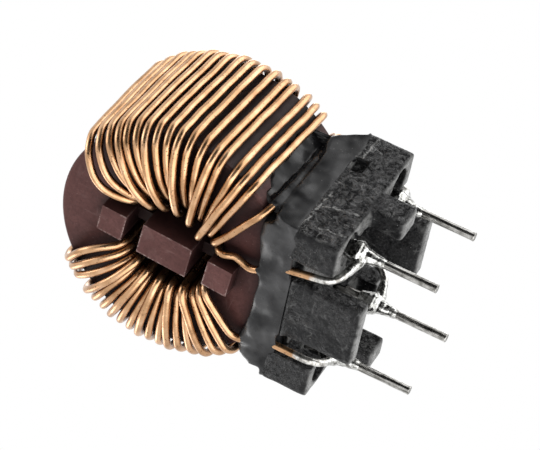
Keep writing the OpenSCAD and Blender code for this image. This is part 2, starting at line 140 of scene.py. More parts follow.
class Finish(Graph):
    """A procedural material on one Principled shader, with its patterns fixed to the object's coordinates."""

    def __init__(self, name):
        self.mat = bpy.data.materials.new(name)
        super().__init__(self.mat)
        self.shader = self.node("ShaderNodeBsdfPrincipled")
        self.node("ShaderNodeOutputMaterial", {"Surface": self.shader.outputs[0]})
        coordinates = self.node("ShaderNodeTexCoord").outputs
        self.place = coordinates["Object"]
        self.normal = coordinates["Normal"]

    def set(self, **inputs):
        for key, value in inputs.items():
            self.put(self.shader.inputs[key.replace("_", " ")], value)

    def scaled(self, size, stretch=(1, 1, 1)):
        """The coordinates in units of size."""
        scale = [s / (size * MM) for s in stretch]
        return self.node("ShaderNodeMapping", {"Vector": self.place, "Scale": scale}).outputs[0]

    def noise(self, size, detail=4.0, rough=0.55, stretch=(1, 1, 1), warp=0.0):
        look = {"Scale": 1.0, "Detail": detail, "Roughness": rough, "Distortion": warp}
        return self.node("ShaderNodeTexNoise", {"Vector": self.scaled(size, stretch), **look}).outputs["Fac"]

    def specks(self, size):
        """The distance to the nearest of many scattered points."""
        cells = self.node("ShaderNodeTexVoronoi", {"Vector": self.scaled(size), "Scale": 1.0})
        return cells.outputs["Distance"]

    def ramp(self, value, stops):
        n = self.node("ShaderNodeValToRGB", {"Fac": value})
        bar = n.color_ramp.elements
        while len(bar) < len(stops):
            bar.new(1.0)
        for e, (at, colour) in zip(bar, stops):
            e.position = at
            e.color = (*colour, 1) if isinstance(colour, tuple) else (colour, colour, colour, 1)
        return n.outputs["Color"]

    def mix(self, factor, a, b):
        n = self.node("ShaderNodeMix", data_type="RGBA")
        for key, kind, value in (("Factor", "VALUE", factor), ("A", "RGBA", a), ("B", "RGBA", b)):
            socket = next(s for s in n.inputs if s.name == key and s.type == kind)
            self.put(socket, (*value, 1) if isinstance(value, tuple) else value)
        return next(s for s in n.outputs if s.type == "RGBA")

    def bump(self, height, depth, strength=1.0, normal=None):
        n = self.node("ShaderNodeBump", {"Height": height, "Distance": depth * MM, "Strength": strength})
        if normal is not None:
            self.put(n.inputs["Normal"], normal)
        return n.outputs[0]

    def occlusion_shade(self, reach, stops):
        """A ramp over how open a point is: near 0 where other surfaces within reach hide it. The finishes use
        it to paint shade into their colours.
        """
        open_part = self.node("ShaderNodeAmbientOcclusion", {"Distance": reach * MM}, samples=8).outputs["AO"]
        return self.ramp(open_part, stops)

    def edges(self, radius, low, high):
        """White along convex and concave edges."""
        soft = self.node("ShaderNodeBevel", {"Radius": radius * MM}, samples=6).outputs[0]
        true = self.node("ShaderNodeNewGeometry").outputs["Normal"]
        away = self.maths("SUBTRACT", 1.0, self.vector("DOT_PRODUCT", soft, true))
        return self.ramp(away, [(low, 0.0), (high, 1.0)])

    def facing(self, axis):
        """How far the surface faces along +X, +Y or +Z, from -1 to 1."""
        return self.node("ShaderNodeSeparateXYZ", {"Vector": self.normal}).outputs[axis]

    def line(self, a, b, width):
        """A thin, slightly wavy line from a to b."""
        way = Vector(b) - Vector(a)
        look = {"Scale": 1 / (0.9 * MM), "Detail": 4.0}
        wobble = self.node("ShaderNodeTexNoise", {"Vector": self.place, **look})
        sway = 1.2 * MM
        bent = self.vector("MULTIPLY_ADD", wobble.outputs["Color"], (sway,) * 3, self.place)
        # the noise lies around a half, so that the line moves by half the sway on average
        start = Vector(a) * MM + Vector((sway / 2,) * 3)
        from_a = self.vector("SUBTRACT", bent, tuple(start))
        along = self.vector("DOT_PRODUCT", from_a, tuple(way.normalized()))
        along = self.maths("DIVIDE", along, way.length * MM)
        held = self.node("ShaderNodeClamp", {"Value": along}).outputs[0]
        foot = self.node("ShaderNodeVectorMath", {0: tuple(way * MM), "Scale": held}, operation="SCALE")
        off = self.vector("LENGTH", self.vector("SUBTRACT", from_a, foot.outputs[0]))
        return self.ramp(self.maths("DIVIDE", off, width * MM), [(0.4, 1.0), (1.0, 0.0)])

    def scratches(self, size, width):
        """Thin random lines: the zero lines of stretched noise."""
        lines = None
        for stretch, warp in (((1, 0.12, 0.5), 0.6), ((0.15, 1, 0.6), 0.9), ((0.5, 0.6, 0.1), 0.4)):
            off = self.maths("SUBTRACT", self.noise(size, 2.0, 0.5, stretch, warp), 0.5)
            line = self.ramp(self.maths("ABSOLUTE", off), [(0.0, 1.0), (width, 0.0)])
            lines = line if lines is None else self.most(lines, line)
        return self.times(lines, self.ramp(self.noise(size * 0.7), [(0.5, 0.0), (0.68, 1.0)]))


def copper_finish():
    f = Finish("enamelled_copper")
    tone = f.ramp(
        f.noise(2.0, 5),
        [(0.3, (0.40, 0.215, 0.10)), (0.5, (0.56, 0.325, 0.17)), (0.72, (0.72, 0.455, 0.27))],
    )
    blotches = f.ramp(f.noise(0.5, 3, 0.6), [(0.60, 0.0), (0.72, 1.0)])
    tone = f.mix(f.times(blotches, 0.5), tone, (0.16, 0.065, 0.022))
    spots = f.ramp(f.specks(0.42), [(0.13, 1.0), (0.22, 0.0)])
    flecks = f.times(spots, f.ramp(f.noise(1.2), [(0.42, 0.0), (0.52, 1.0)]))
    tone = f.mix(f.times(flecks, 0.85), tone, (0.05, 0.022, 0.010))
    # painted shade where turn lies against turn, and deeper painted shade where the wires run into the hole
    painted_gap_shade = f.occlusion_shade(0.9, [(0.15, 1.0), (0.60, 0.0)])
    tone = f.mix(f.times(painted_gap_shade, 0.8), tone, (0.075, 0.026, 0.010))
    tone = f.mix(f.occlusion_shade(6, [(0.15, 0.85), (0.42, 0.0)]), tone, (0.11, 0.040, 0.016))
    # the ends are tinned where they were dipped in solder, up to about 6.4 mm
    height = f.node("ShaderNodeSeparateXYZ", {"Vector": f.place}).outputs["Z"]
    uneven = f.maths("ADD", f.maths("DIVIDE", height, MM), f.times(f.noise(0.7, 3), 2.2))
    tinned = f.ramp(f.maths("DIVIDE", uneven, 10.0), [(0.72, 1.0), (0.78, 0.0)])
    tin = f.ramp(f.noise(0.5, 4), [(0.35, (0.22, 0.21, 0.19)), (0.6, (0.74, 0.73, 0.70))])
    f.set(
        Base_Color=f.mix(tinned, tone, tin),
        Metallic=1.0,
        Roughness=f.ramp(f.noise(0.8, 3), [(0.3, 0.24), (0.7, 0.38)]),
        Coat_Weight=0.25,
        Coat_Roughness=0.15,
        Normal=f.bump(f.noise(0.35, 3, 0.6), 0.010),
    )
    return f.mat


def case_finish():
    f = Finish("case_plastic")
    tone = f.ramp(f.noise(4.0, 5, 0.6), [(0.3, (0.080, 0.030, 0.027)), (0.7, (0.140, 0.060, 0.055))])
    mottled = f.ramp(f.noise(0.4, 5, 0.75), [(0.35, 0.45), (0.55, 0.0)])
    tone = f.mix(mottled, tone, (0.040, 0.015, 0.014))
    marks = f.scratches(3.0, 0.010)
    tone = f.mix(f.times(marks, 0.4), tone, (0.22, 0.13, 0.12))
    # pale edges: partly rubbed wear, partly a painted highlight along the edges
    fine = f.ramp(f.noise(0.35, 4, 0.8), [(0.44, 0.0), (0.54, 1.0)])
    rubbed = f.times(fine, f.ramp(f.noise(2.2, 2), [(0.44, 0.1), (0.56, 1.0)]))
    wear_and_edge_highlight = f.times(f.edges(0.42, 0.03, 0.18), rubbed)
    tone = f.mix(f.times(wear_and_edge_highlight, 0.95), tone, (0.55, 0.42, 0.39))
    dots = f.ramp(f.specks(0.42), [(0.06, 1.0), (0.13, 0.0)])
    dust = f.times(dots, f.ramp(f.noise(1.5), [(0.5, 0.0), (0.6, 1.0)]))
    tone = f.mix(f.times(dust, 0.7), tone, (0.34, 0.25, 0.23))
    # painted shade under the wires, and deeper painted shade in the hole
    tone = f.mix(f.occlusion_shade(2.6, [(0.3, 0.9), (0.88, 0.0)]), tone, (0.012, 0.0045, 0.0045))
    tone = f.mix(f.occlusion_shade(8, [(0.3, 0.95), (0.76, 0.0)]), tone, (0.010, 0.004, 0.004))
    f.set(
        Base_Color=tone,
        Roughness=f.ramp(f.noise(1.5, 4), [(0.3, 0.36), (0.7, 0.50)]),
        Specular_IOR_Level=0.14,
        Normal=f.bump(f.mix(0.35, f.noise(0.22, 3, 0.7), marks), 0.025, 0.7),
    )
    return f.mat


# Scratches on the header's right-hand wall, each from one y, z to another
SCRATCHES = (
    ((5.1, 8.7), (7.3, 8.4)),
    ((7.2, 8.5), (9.4, 8.3)),
    ((-8.4, 9.3), (-4.9, 9.1)),
    ((-4.9, 9.1), (-2.0, 8.8)),
    ((-4.5, 8.6), (-3.9, 7.0)),
    ((-3.9, 7.0), (-3.4, 5.0)),
    ((-8.0, 7.6), (-7.4, 4.6)),
)


def header_finish():
    f = Finish("header_plastic")
    on_wall = f.ramp(f.facing("X"), [(0.5, 0.0), (0.9, 1.0)])
    tone = f.ramp(f.noise(3.0, 6, 0.65), [(0.3, (0.002, 0.002, 0.0025)), (0.7, (0.010, 0.010, 0.0105))])
    # creases everywhere, and painted glints on the right-hand wall, both in patches
    crumpled = f.ramp(f.noise(5.0, 2), [(0.46, 0.15), (0.56, 1.0)])
    creased = f.ramp(f.noise(0.8, 5, 0.75), [(0.465, 0.0), (0.5, 1.0), (0.54, 0.0)])
    creased = f.times(f.times(creased, f.most(on_wall, 0.35)), crumpled)
    tone = f.mix(f.times(creased, 0.75), tone, (0.17, 0.17, 0.175))
    painted_wall_glints = f.times(f.ramp(f.noise(0.9, 6, 0.75, warp=2.2), [(0.55, 0.0), (0.60, 1.0)]), on_wall)
    painted_wall_glints = f.times(painted_wall_glints, f.ramp(f.noise(3.5, 2), [(0.44, 0.1), (0.60, 0.75)]))
    tone = f.mix(painted_wall_glints, tone, (0.19, 0.19, 0.19))
    # greyed edges: partly wear, partly a painted highlight along the edges
    patchy = f.ramp(f.noise(0.8, 4, 0.7), [(0.36, 0.0), (0.60, 1.0)])
    sharp = f.node("ShaderNodeNewGeometry").outputs["Pointiness"]
    wear_and_edge_highlight = f.times(f.ramp(sharp, [(0.515, 0.0), (0.56, 1.0)]), patchy)
    tone = f.mix(f.times(wear_and_edge_highlight, 0.7), tone, (0.20, 0.20, 0.20))
    # painted light on the faces that look down, as if lit from below, in patches
    underside_patches = f.ramp(f.noise(0.8, 4, 0.7), [(0.32, 0.2), (0.52, 1.0)])
    painted_underside_light = f.times(f.ramp(f.times(f.facing("Z"), -1.0), [(0.45, 0.0), (0.9, 1.0)]), underside_patches)
    tone = f.mix(f.times(painted_underside_light, 0.75), tone, (0.30, 0.30, 0.295))
    # random scratches, and the long ones of the right-hand wall
    marks = f.times(f.scratches(2.2, 0.012), f.most(f.times(on_wall, 0.5), 0.25))
    broken = f.ramp(f.noise(0.45, 4, 0.7), [(0.42, 0.15), (0.56, 1.0)])
    for a, b in SCRATCHES:
        scratch = f.line((HEADER_W / 2, *a), (HEADER_W / 2, *b), 0.2)
        marks = f.most(marks, f.times(scratch, broken))
    tone = f.mix(f.times(marks, 0.95), tone, (0.48, 0.48, 0.47))
    dots = f.ramp(f.specks(0.42), [(0.07, 1.0), (0.14, 0.0)])
    dust = f.times(dots, f.ramp(f.noise(1.6), [(0.50, 0.0), (0.60, 1.0)]))
    tone = f.mix(f.times(dust, 0.8), tone, (0.45, 0.44, 0.43))
    # painted shade in the recesses
    tone = f.mix(f.occlusion_shade(1.5, [(0.25, 0.85), (0.75, 0.0)]), tone, (0.004, 0.004, 0.004))
    # relief, from the dents to the grain
    crinkle = f.noise(0.9, 6, 0.72, warp=1.2)
    dented = f.ramp(f.noise(0.8, 5, 0.7, warp=0.5), [(0.38, 0.0), (0.62, 1.0)])
    relief = f.bump(f.times(dented, crumpled), 0.20)
    relief = f.bump(f.times(crinkle, on_wall), 0.8, normal=relief)
    f.set(
        Base_Color=tone,
        Roughness=f.ramp(f.noise(1.0, 5), [(0.3, 0.18), (0.7, 0.36)]),
        Specular_IOR_Level=f.mix(on_wall, (0.16, 0.16, 0.16), f.ramp(crinkle, [(0.44, 0.02), (0.58, 0.50)])),
        Normal=f.bump(f.mix(0.5, f.noise(0.3, 5, 0.7), marks), 0.04, 0.8, relief),
    )
    return f.mat


def resin_finish():
    f = Finish("potting_resin")
    tone = f.ramp(f.noise(2.5, 5, 0.6), [(0.35, (0.002, 0.002, 0.0025)), (0.7, (0.009, 0.009, 0.0095))])
    dots = f.ramp(f.specks(0.5), [(0.05, 1.0), (0.11, 0.0)])
    dust = f.times(dots, f.ramp(f.noise(1.6), [(0.52, 0.0), (0.60, 1.0)]))
    tone = f.mix(f.times(dust, 0.6), tone, (0.35, 0.34, 0.33))
    # painted sheen on the faces that look forward, along -Y, in patches
    front = f.ramp(f.times(f.facing("Y"), -1.0), [(0.2, 0.0), (0.8, 1.0)])
    painted_front_sheen = f.times(front, f.ramp(f.noise(4.0, 3, 0.5), [(0.40, 0.3), (0.60, 1.0)]))
    tone = f.mix(f.times(painted_front_sheen, 0.7), tone, (0.085, 0.085, 0.087))
    skin = f.bump(f.noise(3.6, 1, 0.4), 0.55)
    f.set(
        Base_Color=tone,
        Roughness=f.ramp(f.noise(1.6, 5), [(0.35, 0.22), (0.7, 0.38)]),
        Specular_IOR_Level=f.ramp(f.noise(3.0, 2, 0.5), [(0.40, 0.10), (0.60, 0.30)]),
        Normal=f.bump(f.noise(0.3, 3, 0.6), 0.010, 0.8, skin),
    )
    return f.mat


def pin_finish():
    f = Finish("tinned_pin")
    tone = f.ramp(
        f.noise(0.8, 5, 0.65),
        [(0.32, (0.20, 0.195, 0.18)), (0.5, (0.43, 0.42, 0.40)), (0.7, (0.64, 0.63, 0.61))],
    )
    streaks = f.ramp(f.noise(0.30, 4, 0.7, (1, 1, 0.10)), [(0.50, 0.0), (0.62, 1.0)])
    drawn = f.noise(0.16, 3, 0.6, (1, 1, 0.05))
    f.set(
        Base_Color=f.mix(f.times(streaks, 0.8), tone, (0.07, 0.068, 0.06)),
        Metallic=1.0,
        Roughness=f.ramp(drawn, [(0.3, 0.15), (0.7, 0.32)]),
        Normal=f.bump(drawn, 0.018, 0.8),
    )
    return f.mat


def solder_finish():
    f = Finish("solder")
    tone = f.ramp(f.noise(0.7, 4), [(0.3, (0.30, 0.30, 0.285)), (0.6, (0.70, 0.70, 0.68))])
    dross = f.ramp(f.noise(0.45, 4, 0.7), [(0.49, 0.0), (0.60, 1.0)])
    f.set(
        Base_Color=f.mix(f.times(dross, 0.75), tone, (0.06, 0.055, 0.045)),
        Metallic=1.0,
        Roughness=f.ramp(f.noise(0.5, 4), [(0.35, 0.12), (0.65, 0.32)]),
        Normal=f.bump(f.noise(0.5, 3, 0.5), 0.06),
    )
    return f.mat


def ferrite_finish():
    f = Finish("ferrite")
    f.set(
        Base_Color=f.ramp(f.noise(0.3, 5, 0.7), [(0.3, (0.02, 0.02, 0.022)), (0.7, (0.06, 0.06, 0.065))]),
        Roughness=f.ramp(f.noise(1.0), [(0.3, 0.35), (0.7, 0.5)]),
        Normal=f.bump(f.noise(0.2, 4), 0.02),
    )
    return f.mat


COPPER = copper_finish()
CASE = case_finish()
HEADER = header_finish()
RESIN = resin_finish()
PIN = pin_finish()
SOLDER = solder_finish()
FERRITE = ferrite_finish()

# The solids that the scene shows as they are
for name, finish in (("core", FERRITE), ("case_cup", CASE), ("case_lid", CASE), ("separator", CASE)):
    slots = nodes[name].data.materials
    slots.clear()
    slots.append(finish)

# ---------- Shapes ----------


def linked(name, data):
    """A new object in the scene."""
    obj = bpy.data.objects.new(name, data)
    bpy.context.scene.collection.objects.link(obj)
    return obj


def new_piece(name, verts, faces, mat):
    """A smooth piece in the shared frame."""
    me = bpy.data.meshes.new(name)
    me.from_pydata([tuple(v) for v in np.asarray(verts) * MM], [], [tuple(f) for f in faces])
    me.polygons.foreach_set("use_smooth", [True] * len(me.polygons))
    me.materials.append(mat)
    me.validate()
    obj = linked(name, me)
    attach(obj, "root")
    return obj


def unit(v):
    return v / np.linalg.norm(v)


def smooth_step(x, low, high):
    t = np.clip((x - low) / (high - low), 0, 1)
    return t * t * (3 - 2 * t)


def waves(points, *layers):
    """The sum of layers of smooth noise at each point, each layer given as its height, length and seed."""
    total = np.zeros(len(points))
    for height, length, seed in layers:
        offset = Vector((seed, 2 * seed, 0))
        total += height * np.array([noise.noise(Vector(p) / length + offset) for p in points])
    return total


def run_length(line):
    """How far along the line each of its points lies."""
    return np.cumsum(np.linalg.norm(np.diff(line, axis=0, prepend=line[:1]), axis=1))


def lofted(count, sides):
    """The faces of a closed body from count rings of points, each with that many sides."""
    faces = [
        (i * sides + k, i * sides + (k + 1) % sides, (i + 1) * sides + (k + 1) % sides, (i + 1) * sides + k)
        for i in range(count - 1)
        for k in range(sides)
    ]
    return faces + [tuple(reversed(range(sides))), tuple(range((count - 1) * sides, count * sides))]


def tube(path, radius, sides=14):
    """A round wire along a line of points."""
    ahead = np.gradient(path, axis=0)
    ahead /= np.linalg.norm(ahead, axis=1)[:, None]
    side = unit(np.cross(ahead[0], [0.3, 0.9, 0.2]))  # any direction that isn't the wire's
    verts = []
    for p, t in zip(path, ahead):
        side = unit(side - t * np.dot(side, t))
        up = np.cross(t, side)
        for k in range(sides):
            a = 2 * math.pi * k / sides
            verts.append(p + radius * (math.cos(a) * side + math.sin(a) * up))
    return np.array(verts), lofted(len(path), sides)


def turned(profile, x, y, wobble, seed, sides=28):
    """A turned body from r, z pairs, slightly out of true."""
    verts = []
    for r, z in profile:
        for k in range(sides):
            a = 2 * math.pi * k / sides
            p = Vector((math.cos(a), math.sin(a), z / 2)) * 1.7
            d = r * (1 + wobble * noise.noise(p + Vector((seed, 0, 0))))
            verts.append((x + d * math.cos(a), y + d * math.sin(a), z))
    return np.array(verts), lofted(len(profile), sides)


def ball(centre, radii, axes=None, rings=8):
    """A closed ellipsoid, its three radii along the three axes."""
    axes = np.eye(3) if axes is None else np.array(axes)
    verts, n = [], 2 * rings
    for i in range(1, rings):
        a = math.pi * i / rings
        for k in range(n):
            b = 2 * math.pi * k / n
            verts.append((math.sin(a) * math.cos(b), math.sin(a) * math.sin(b), math.cos(a)))
    verts += [(0, 0, 1), (0, 0, -1)]
    faces = [
        (i * n + k, (i + 1) * n + k, (i + 1) * n + (k + 1) % n, i * n + (k + 1) % n)
        for i in range(rings - 2)
        for k in range(n)
    ]
    top, low, last = len(verts) - 2, len(verts) - 1, (rings - 2) * n
    faces += [(top, k, (k + 1) % n) for k in range(n)]
    faces += [(low, last + (k + 1) % n, last + k) for k in range(n)]
    return np.asarray(centre) + (np.array(verts) * np.array(radii)) @ axes, faces


def cad_shape(name):
    """The points and faces of a CAD node."""
    me = nodes[name].data
    verts = np.empty(3 * len(me.vertices))
    me.vertices.foreach_get("co", verts)
    m = np.array(nodes[name].matrix_world)
    return (verts.reshape(-1, 3) @ m[:3, :3].T + m[:3, 3]) / MM, [tuple(p.vertices) for p in me.polygons]


def melted(shapes, voxel, rounds):
    """One skin round all the shapes, with its edges softened: its points, faces and normals."""
    verts, faces = [], []
    for v, f in shapes:
        base = len(verts)
        verts += [tuple(p) for p in v]
        faces += [tuple(base + i for i in p) for p in f]
    me = bpy.data.meshes.new("melt")
    me.from_pydata(verts, [], faces)
    obj = linked("melt", me)
    skin = obj.modifiers.new("skin", "REMESH")
    skin.mode = "VOXEL"
    skin.voxel_size = voxel
    soft = obj.modifiers.new("soft", "SMOOTH")
    soft.factor = 0.5
    soft.iterations = rounds
    done = bpy.data.meshes.new_from_object(obj.evaluated_get(bpy.context.evaluated_depsgraph_get()))
    points = np.empty(3 * len(done.vertices))
    done.vertices.foreach_get("co", points)
    normals = np.empty(3 * len(done.vertices))
    done.vertices.foreach_get("normal", normals)
    polys = [tuple(p.vertices) for p in done.polygons]
    bpy.data.objects.remove(obj)
    bpy.data.meshes.remove(me)
    bpy.data.meshes.remove(done)
    return points.reshape(-1, 3), polys, normals.reshape(-1, 3)


# ---------- The ring and its windings ----------


def seat(p):
    """A point given with the ring's own axis along Y, moved to where the ring stands."""
    x, y, z = p
    x, z = x * math.cos(ROLL) + z * math.sin(ROLL), z * math.cos(ROLL) - x * math.sin(ROLL)
    x, y = x * math.cos(TWIST) - y * math.sin(TWIST), x * math.sin(TWIST) + y * math.cos(TWIST)
    return np.array([x, y, z + RING_Z])


def off_seat(points):
    """The reverse of seat, for an array of points."""
    q = np.asarray(points) - [0, 0, RING_Z]
    x = q[:, 0] * math.cos(TWIST) + q[:, 1] * math.sin(TWIST)
    y = q[:, 1] * math.cos(TWIST) - q[:, 0] * math.sin(TWIST)
    z = q[:, 2]
    x, z = x * math.cos(ROLL) - z * math.sin(ROLL), x * math.sin(ROLL) + z * math.cos(ROLL)
    return np.stack([x, y, z], axis=1)


def on_ring(r, degrees, y):
    a = math.radians(degrees)
    return np.array([r * math.cos(a), y, r * math.sin(a)])


def rides(k):
    """Whether pass k rides on its neighbours."""
    return 0 < k < ROW_END and k % RIDER_EVERY == 0


def row(k):
    """The place of pass k in the seated row, in which a rider takes none."""
    riders = (max(1, min(k, ROW_END)) - 1) // RIDER_EVERY
    return k - riders - (0.5 if rides(k) else 0)


def pass_at(k, side, lean=0):
    """Pass k through the hole: its back end (side 1) or its front end (side -1)."""
    if k == 0 and side > 0:
        return np.array([LANE_X, FACE_Y, math.sqrt(BORE_R**2 - LANE_X**2)])
    angle = BORE_START - BORE_PITCH * row(k) + (BORE_PITCH / 2 if side > 0 else 0) - lean
    out = FACE_Y + (RIDER_OUT if rides(k) else 0) + STAND_OUT * max(0, row(k) - UPRIGHT)
    return on_ring(BORE_R - (RIDER_IN if rides(k) else 0), angle, side * out)


def winding_corners(start, steps, leave, exit_x, half):
    """The corners of a winding from its back pin to its front pin, as point and bend radius.

    start is the first turn's angle on the rim, and steps gives the spacing of the others, in degrees. leave
    holds the corners on the way down the front face, exit_x is where the front end meets the header, and
    half is 1 for the right-hand winding and -1 for the left-hand one.
    """
    angles = [start]
    for n, step in steps:
        angles += [angles[-1] - step * (i + 1) for i in range(n)]
    count = len(angles)

    def pin_end(side):
        """From the pin out under the header's edge and up through the slot."""
        pin = np.array([PIN_X, side * PIN_Y, LEAD_END])
        toward = unit(np.array([LEAD_X - PIN_X, side * (LEAD_Y - PIN_Y), 0]))
        return [
            (pin + LEAD_STOP * toward, 0),
            (np.array([LEAD_X, side * LEAD_Y, LEAD_Z]), LEAD_BEND),
            (np.array([SLOT_X if side > 0 else exit_x, side * LEAD_Y, HEADER_TOP + 0.4]), SLOT_BEND),
        ]

    # up the back face to the lane beside the bar
    ring = [(np.array([LANE_X - 0.9, FACE_Y + 0.1, -HOLE_R - 3.2]), 2)]
    for i, a in enumerate(angles):
        ring += [(pass_at(i, 1), BORE_BEND), (pass_at(i, -1), BORE_BEND)]
        ring += [(on_ring(RIM_R, a, -FACE_Y), RIM_BEND), (on_ring(RIM_R, a - RIM_SLANT, FACE_Y), RIM_BEND)]
    ring += [(pass_at(count, 1), BORE_BEND), (pass_at(count, -1, LAST_SLANT), BORE_BEND)] + leave
    mirror = np.array([half, 1, 1])
    return (
        [(q * mirror, r) for q, r in pin_end(1)]
        + [(seat(q * mirror), r) for q, r in ring]
        + [(q * mirror, r) for q, r in reversed(pin_end(-1))]
    )


def bent_line(corners, step=0.3):
    """Points along straight runs and round bends."""
    line = [corners[0][0]]

    def run_to(p):
        start = line[-1]
        n = max(1, int(round(np.linalg.norm(p - start) / step)))
        line.extend(start + (p - start) * i / n for i in range(1, n + 1))

    for (a, _), (b, r), (c, _) in zip(corners, corners[1:], corners[2:]):
        into, away = unit(b - a), unit(c - b)
        angle = math.acos(float(np.clip(np.dot(into, away), -1, 1)))
        leg = r * math.tan(angle / 2)
        run_to(b - into * leg)
        inward = unit(away - into * np.dot(into, away))
        centre = b - into * leg + inward * r
        n = max(2, int(math.ceil(r * angle / (step * 0.8))))
        for i in range(1, n + 1):
            t = angle * i / n
            line.append(centre + r * (into * math.sin(t) - inward * math.cos(t)))
    run_to(corners[-1][0])
    return np.array(line)


# How far a hand-wound wire leaves the even line
RIM_BOW = 0.16  # outwards, half way across the rim
LOW_LIFT = 0.35  # off a face, in the lowest turns
HIGH_LIFT = 1.25  # and what the highest turns have more
HOOK_LEAN = 1.3  # towards the separator's hook, in the first turns
FACE_IN = 5.9  # the radius at which a wire leaves the hole for a face


def hand_wound(line, seed):
    """The even line as a hand winds it: bowed between its bends and not quite parallel."""
    q = off_seat(line)
    r = np.hypot(q[:, 0], q[:, 2])
    out = np.stack([q[:, 0] / r, 0 * r, q[:, 2] / r], axis=1)
    around = np.stack([-out[:, 2], 0 * r, out[:, 0]], axis=1)
    height = np.degrees(np.arctan2(q[:, 2], np.abs(q[:, 0])))
    # each from 0 to 1: clear of the header, clear of the hole, on the rim and on a face
    above = smooth_step(line[:, 2], HEADER_TOP + 0.2, HEADER_TOP + 3.3)
    free = smooth_step(r, 7.0, 10.5) * above
    on_rim = smooth_step(r, CASE_R + 0.15, CASE_R + 0.75) * free
    on_face = smooth_step(np.abs(q[:, 1]), 7.2, FACE_Y) * above
    across = np.clip((r - FACE_IN) / (RIM_R - FACE_IN), 0, 1)
    bow = RIM_BOW * on_rim * np.clip(1 - (q[:, 1] / 8.2) ** 2, 0, 1)
    lift = (LOW_LIFT + HIGH_LIFT * smooth_step(height, -45, 40)) * on_face * 4 * across * (1 - across)
    lean = HOOK_LEAN * smooth_step(height, 38, 58) * on_face * np.sin(math.pi * across) ** 1.5
    sway = waves(q, (0.17, 6.0, seed), (0.05, 2.4, seed + 5)) * free
    loose = (0.07 + waves(q, (0.07, 4.0, seed + 9))) * free
    q = q + out * (bow + loose * on_rim)[:, None] + around * (sway + np.sign(q[:, 0]) * lean)[:, None]
    q[:, 1] += np.sign(q[:, 1]) * (lift + loose * on_face)
    moved = np.array([seat(p) for p in q])
    for _ in range(2):
        moved[1:-1] = 0.25 * moved[:-2] + 0.5 * moved[1:-1] + 0.25 * moved[2:]
    return moved


def wind(name, start, steps, leave, exit_x, half, seed):
    """Makes a winding's piece, and returns the line that its wire follows."""
    line = hand_wound(bent_line(winding_corners(start, steps, leave, exit_x, half)), seed)
    verts, faces = tube(line, WIRE / 2)
    piece = new_piece(name + "_wire", verts, faces, COPPER)
    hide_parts(name)
    return line


# The spacing of the turns on the rim, as how many and by how many degrees, and the corners on the way down
RIGHT_STEPS = [(1, 6.5), (2, 5.6), (1, 4), (6, 5.1), (2, 6), (1, 4), (1, 7.2), (2, 5.1), (1, 11.8)]
LEFT_STEPS = [(2, 4.2), (1, 8.6), (10, 5.2), (4, 6.25)]
RIGHT_LEAVE = [
    (np.array([LANE_X + 0.75, -FACE_Y, -HOLE_R - 1.1]), 1.2),
    (np.array([LANE_X + 0.15, -FACE_Y, -HOLE_R - 3.3]), 1.5),
]
LEFT_LEAVE = [(np.array([7.9, -FACE_Y, -HOLE_R - 3.8]), 1.5)]

right_line = wind("winding_right", 57, RIGHT_STEPS, RIGHT_LEAVE, SLOT_X - 0.75, 1, 1.0)
left_line = wind("winding_left", 50, LEFT_STEPS, LEFT_LEAVE, SLOT_X + 0.5, -1, 31.0)

# ---------- Resin ----------

# Drops on the rim, as degrees, y, half width and thickness: along the last right turn, then low on the left
RIM_DROPS = (
    (-35.6, -2.4, 2.1, 0.34),
    (-35.0, -0.2, 1.5, 0.28),
    (-36.4, 1.6, 2.1, 0.34),
    (-34.9, 3.6, 1.7, 0.30),
    (-36.9, 5.2, 1.9, 0.34),
    (-38.8, 7.0, 1.2, 0.30),
    (-37.8, -4.0, 1.6, 0.34),
    (-39.9, -6.0, 1.3, 0.34),
    (-39.5, 0.0, 2.4, 0.45),
    (-39.8, 4.0, 2.3, 0.45),
    (-40.5, -3.5, 1.8, 0.42),
    (-127.0, -3.5, 2.2, 0.30),
    (-126.0, 0.5, 2.6, 0.34),
    (-127.5, 4.6, 2.2, 0.30),
)


def on_rim(degrees, y, wide, thick):
    """A flat drop of resin on the ring's rim, a little sunk into it."""
    sunk = 0.15
    out = on_ring(1, degrees, 0)
    centre = out * (CASE_R - sunk) + [0, y, 0]
    axes = [out, np.array([0, 1, 0]), np.array([-out[2], 0, out[0]])]
    ends = [seat(centre), *(seat(centre + axis) for axis in axes)]
    return ball(ends[0], (thick + sunk, wide, wide), [end - ends[0] for end in ends[1:]])


def buried_turn():
    """Beads that bury the last right-hand turn where it crosses the rim."""
    q = off_seat(right_line)
    angle = np.degrees(np.arctan2(q[:, 2], q[:, 0]))
    last_turn = (angle < -37.5) & (angle > -46)
    on_the_rim = (np.hypot(q[:, 0], q[:, 2]) > CASE_R + 0.05) & (np.abs(q[:, 1]) < CASE_H / 2 - 0.5)
    return [ball(p, [WIRE / 2 + 0.23] * 3, rings=6) for p in right_line[last_turn & on_the_rim][::2]]


def collars():
    """Beads of resin that creep up each wire end where it comes out, thinner towards the top."""
    low, high = 11.6, 13.6
    beads = []
    for line in (right_line, left_line):
        for end in (line, line[::-1]):
            z = end[:, 2]
            wetted = end[(run_length(end) < 26) & (z > low) & (z < high)]  # not the turns further on
            beads += [ball(p, [0.66 - 0.10 * (p[2] - low)] * 3, rings=6) for p in wetted]
    return beads


# The film over the header's upper edge, which runs round four corners of its own
FILM_X, FILM_Y = 10.9, 9.1  # the middles of the corners
FILM_IN, FILM_OUT = 0.5, 0.73  # their radius: the sunk lower ring, and the skin over the header's 0.7
FILM_LOW = 8.9  # the lower ring, on average
FILM_AT_WINDOW = 9.4  # and its least height over the small window
FILM_TOP = 10.0


